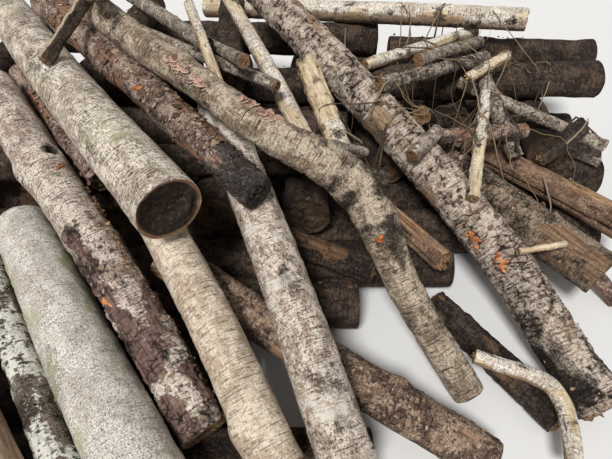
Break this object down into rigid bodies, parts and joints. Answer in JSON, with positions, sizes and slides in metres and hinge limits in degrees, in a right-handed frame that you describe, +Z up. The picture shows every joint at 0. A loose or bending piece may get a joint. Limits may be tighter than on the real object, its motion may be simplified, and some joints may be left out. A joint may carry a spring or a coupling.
{
  "type": "heap of logs",
  "caption": "Heap of cut logs and poles with bark, laid criss-cross on the ground, with sawn, charred, broken and hollow ends.",
  "frame": {"origin": "the middle of the heap's box, on the ground", "axes": "+Z up; the heap's front, toward which most logs run down, is toward -Y"},
  "size_m": [2.5, 2.257, 0.805],
  "materials": {
    "hidden_bark": "rough brown bark",
    "speckled_bark": "smooth grey bark with dark and pale specks",
    "lichen_bark": "dark bark with white crusty lichen",
    "peeled_wood": "weathered tan wood without bark",
    "cream_bark": "cream bark with ring marks and flakes",
    "beige_bark": "beige bark with ring lines",
    "grey_bark": "grey, white and brown mottled bark",
    "reddish_bark": "reddish brown bark with long cracks",
    "forked_bark": "brown bark with cross marks",
    "pink_bark": "pink brown scaly bark",
    "rough_bark": "thick fissured bark",
    "dark_bark": "dark damp rotting bark",
    "pale_bark": "thin bark bleached almost white",
    "slim_bark": "mottled grey brown bark",
    "fibrous_wood": "split fibrous wood"
  },
  "bodies": {
    "root": {"background_rail": "slim_bark", "bark_strip": "fibrous_wood", "bearer_logs_left": "hidden_bark", "bearer_logs_right": "hidden_bark", "bed_logs_back": "hidden_bark", "bed_logs_front": "hidden_bark", "bed_logs_middle": "hidden_bark", "beige_pole": "beige_bark", "bent_pole": "pale_bark", "black_slab": "dark_bark", "broken_pole": "slim_bark", "brown_log": "rough_bark", "charred_log": "pink_bark", "collared_pole": "pale_bark", "cross_logs_left": "hidden_bark", "cross_logs_right": "hidden_bark", "crossing_log": "reddish_bark", "dark_log": "dark_bark", "dark_rail": "slim_bark", "fibrous_log": "fibrous_wood", "forked_log": "forked_bark", "grey_branch": "slim_bark", "grey_chunk": "slim_bark", "grey_stick": "slim_bark", "half_buried_log": "dark_bark", "lichen_log": "lichen_bark", "middle_rail": "slim_bark", "mottled_log": "grey_bark", "mottled_pole": "slim_bark", "pale_branch": "pale_bark", "pale_pole": "pale_bark", "pale_stick": "pale_bark", "peeled_log": "peeled_wood", "pinkish_log": "pink_bark", "propped_pole": "pale_bark", "reddish_log": "pink_bark", "ringed_log": "cream_bark", "rough_bark_log": "rough_bark", "sawn_end_log": "cream_bark", "sawn_pole": "slim_bark", "shaded_log": "pink_bark", "short_block": "dark_bark", "shredded_log": "pale_bark", "small_rail": "slim_bark", "speckled_log": "speckled_bark", "splintered_rail": "pale_bark", "split_log": "fibrous_wood", "split_wedge": "fibrous_wood", "top_rail_log": "pale_bark", "upper_logs": "hidden_bark"}
  },
  "joints": []
}
